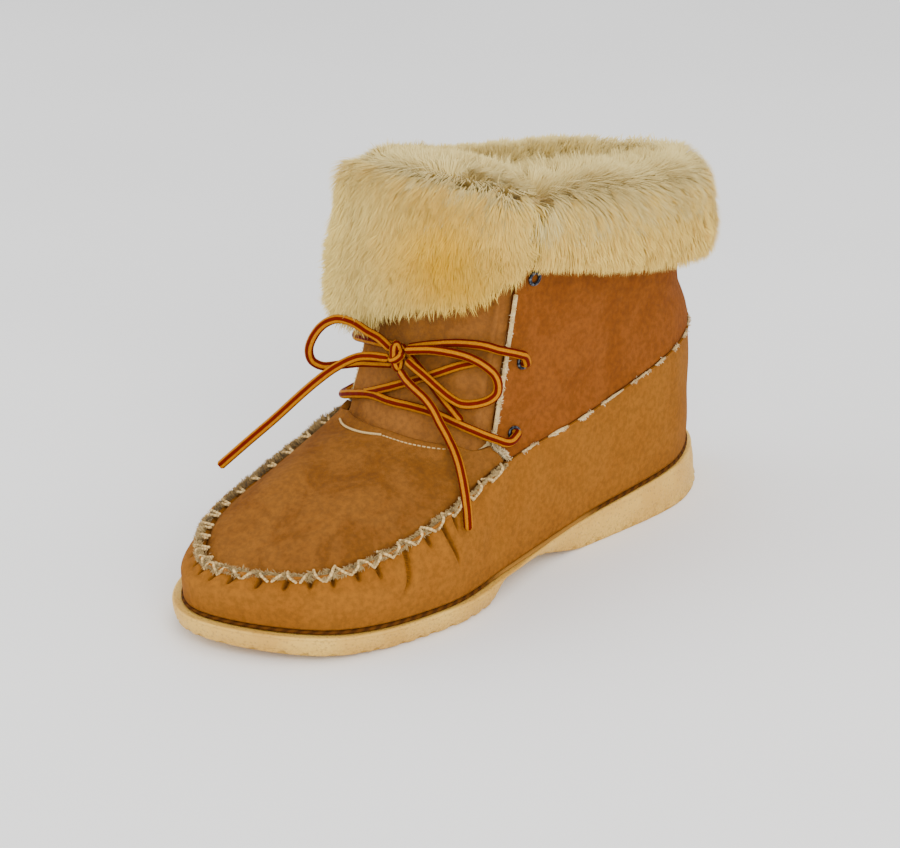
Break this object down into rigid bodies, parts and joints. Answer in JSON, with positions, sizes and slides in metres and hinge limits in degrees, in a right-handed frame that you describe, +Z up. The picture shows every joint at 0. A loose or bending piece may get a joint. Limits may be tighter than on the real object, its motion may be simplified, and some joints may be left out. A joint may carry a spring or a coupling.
{
  "type": "sheepskin moccasin boot",
  "caption": "Ankle-high laced moccasin boot in suede with a gathered apron toe, a turned-down fleece cuff and a moulded unit sole.",
  "frame": {"origin": "centre of the bounding box in plan without the loose lace, at the floor", "axes": "+Z up, toe towards -Y, heel towards +Y, outer side of a left boot towards +X"},
  "size_m": [0.1166, 0.284, 0.1728],
  "materials": {
    "sole_rubber": "matte cream moulded crepe",
    "midsole_strip": "dark brown welt",
    "insole_fleece": "woolly",
    "suede": "napped tan suede",
    "cuff_fleece": "ivory sheep fleece",
    "flap_fleece": "golden long fleece",
    "eyelet_metal": "dark blued",
    "lace": "gold and red-brown braided cord"
  },
  "bodies": {
    "root": {"outsole": "sole_rubber", "midsole_strip": "midsole_strip", "insole": "insole_fleece", "upper": "suede", "shaft": "suede", "tongue": "suede", "cuff": "cuff_fleece", "tongue_flap": "flap_fleece", "eyelet_low_outer": "eyelet_metal", "eyelet_low_inner": "eyelet_metal", "eyelet_middle_outer": "eyelet_metal", "eyelet_middle_inner": "eyelet_metal", "eyelet_high_outer": "eyelet_metal", "lace_crossings": "lace", "lace_knot": "lace", "lace_loop_inner": "lace", "lace_loop_outer": "lace", "lace_end_inner": "lace", "lace_end_outer": "lace"}
  },
  "joints": []
}
